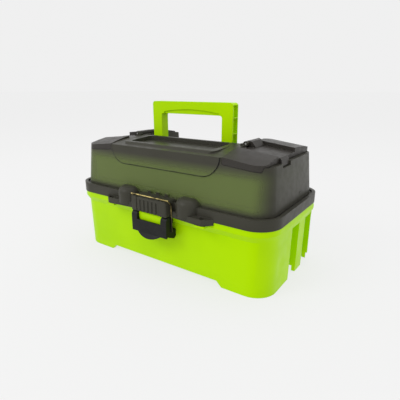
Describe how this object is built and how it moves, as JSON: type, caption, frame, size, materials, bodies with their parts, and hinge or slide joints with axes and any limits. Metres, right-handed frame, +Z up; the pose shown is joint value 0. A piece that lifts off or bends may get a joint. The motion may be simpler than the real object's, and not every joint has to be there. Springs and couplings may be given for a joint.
{
  "type": "fishing tackle box",
  "caption": "Hinged tackle box with cantilever trays, top-access covers, folding handle and front draw latch, in lime and smoke plastic.",
  "frame": {"origin": "centre of the rectangle the closed box covers, on the plane its feet stand on", "axes": "+X along the length to the box's right seen from the front, -Y the front with the latch, +Z up"},
  "size_m": [0.4, 0.2431, 0.2695],
  "materials": {
    "lime": "lime green polypropylene, satin",
    "smoke": "smoke grey translucent polycarbonate, satin gloss",
    "black": "black moulded nylon, fine grain",
    "steel": "plain zinc-plated steel pin",
    "brass": "brass-coloured wire"
  },
  "bodies": {
    "base": {"base": "lime", "hinge_pins": "steel", "base_arm_pins": "steel", "latch_pin": "steel"},
    "lid": {"lid": "smoke", "cover_pin_left": "steel", "cover_pin_right": "steel", "handle_pins": "steel", "lid_tray_pins": "steel"},
    "cover_left": {"cover_left": "smoke"},
    "cover_right": {"cover_right": "smoke"},
    "handle": {"handle": "lime"},
    "latch_lever": {"latch_lever": "black"},
    "wire_bail": {"wire_bail": "brass"},
    "rear_arms": {"arm_rear_left": "black", "arm_rear_right": "black"},
    "front_arms": {"arm_front_left": "black", "arm_front_right": "black"},
    "lower_tray": {"lower_tray": "lime", "lower_tray_pins": "steel"},
    "upper_tray": {"upper_tray": "lime", "upper_tray_pins": "steel"}
  },
  "joints": [
    {"name": "lid_hinge", "type": "hinge", "parent": "base", "child": "lid", "pos_m": [0, 0.11715, 0.1075], "axis": [-1, 0, 0], "range_deg": [0, 100]},
    {"name": "cover_left_hinge", "type": "hinge", "parent": "lid", "child": "cover_left", "pos_m": [-0.1145, 0.00645, 0.21038], "axis": [0, 1, 0], "range_deg": [0, 100]},
    {"name": "cover_right_hinge", "type": "hinge", "parent": "lid", "child": "cover_right", "pos_m": [0.1145, 0.00645, 0.21038], "axis": [0, -1, 0], "range_deg": [0, 100]},
    {"name": "handle_fold", "type": "hinge", "parent": "lid", "child": "handle", "pos_m": [0, 0.00495, 0.1935], "axis": [-1, 0, 0], "range_deg": [0, 90]},
    {"name": "latch_lever_hinge", "type": "hinge", "parent": "base", "child": "latch_lever", "pos_m": [0, -0.10845, 0.0943], "axis": [-1, 0, 0], "range_deg": [0, 90]},
    {"name": "bail_pivot", "type": "hinge", "parent": "latch_lever", "child": "wire_bail", "pos_m": [0, -0.10445, 0.0773], "axis": [-1, 0, 0], "range_deg": [-90, 0]},
    {"name": "rear_arm_hinge", "type": "hinge", "parent": "base", "child": "rear_arms", "pos_m": [0, 0.08245, 0.098], "axis": [-1, 0, 0], "range_deg": [0, 100]},
    {"name": "front_arm_hinge", "type": "hinge", "parent": "base", "child": "front_arms", "pos_m": [0, 0.01545, 0.098], "axis": [-1, 0, 0], "range_deg": [0, 100]},
    {"name": "lower_tray_pivot", "type": "hinge", "parent": "rear_arms", "child": "lower_tray", "pos_m": [0, 0.04109, 0.10529], "axis": [-1, 0, 0], "range_deg": [-100, 0]},
    {"name": "upper_tray_pivot", "type": "hinge", "parent": "rear_arms", "child": "upper_tray", "pos_m": [0, -0.00027, 0.11259], "axis": [-1, 0, 0], "range_deg": [-100, 0]}
  ],
  "couplings": [
    {"joint": "rear_arm_hinge", "follows": "lid_hinge", "ratio": 1},
    {"joint": "front_arm_hinge", "follows": "lid_hinge", "ratio": 1},
    {"joint": "lower_tray_pivot", "follows": "lid_hinge", "ratio": -1},
    {"joint": "upper_tray_pivot", "follows": "lid_hinge", "ratio": -1},
    {"joint": "bail_pivot", "follows": "latch_lever_hinge", "ratio": -1}
  ]
}
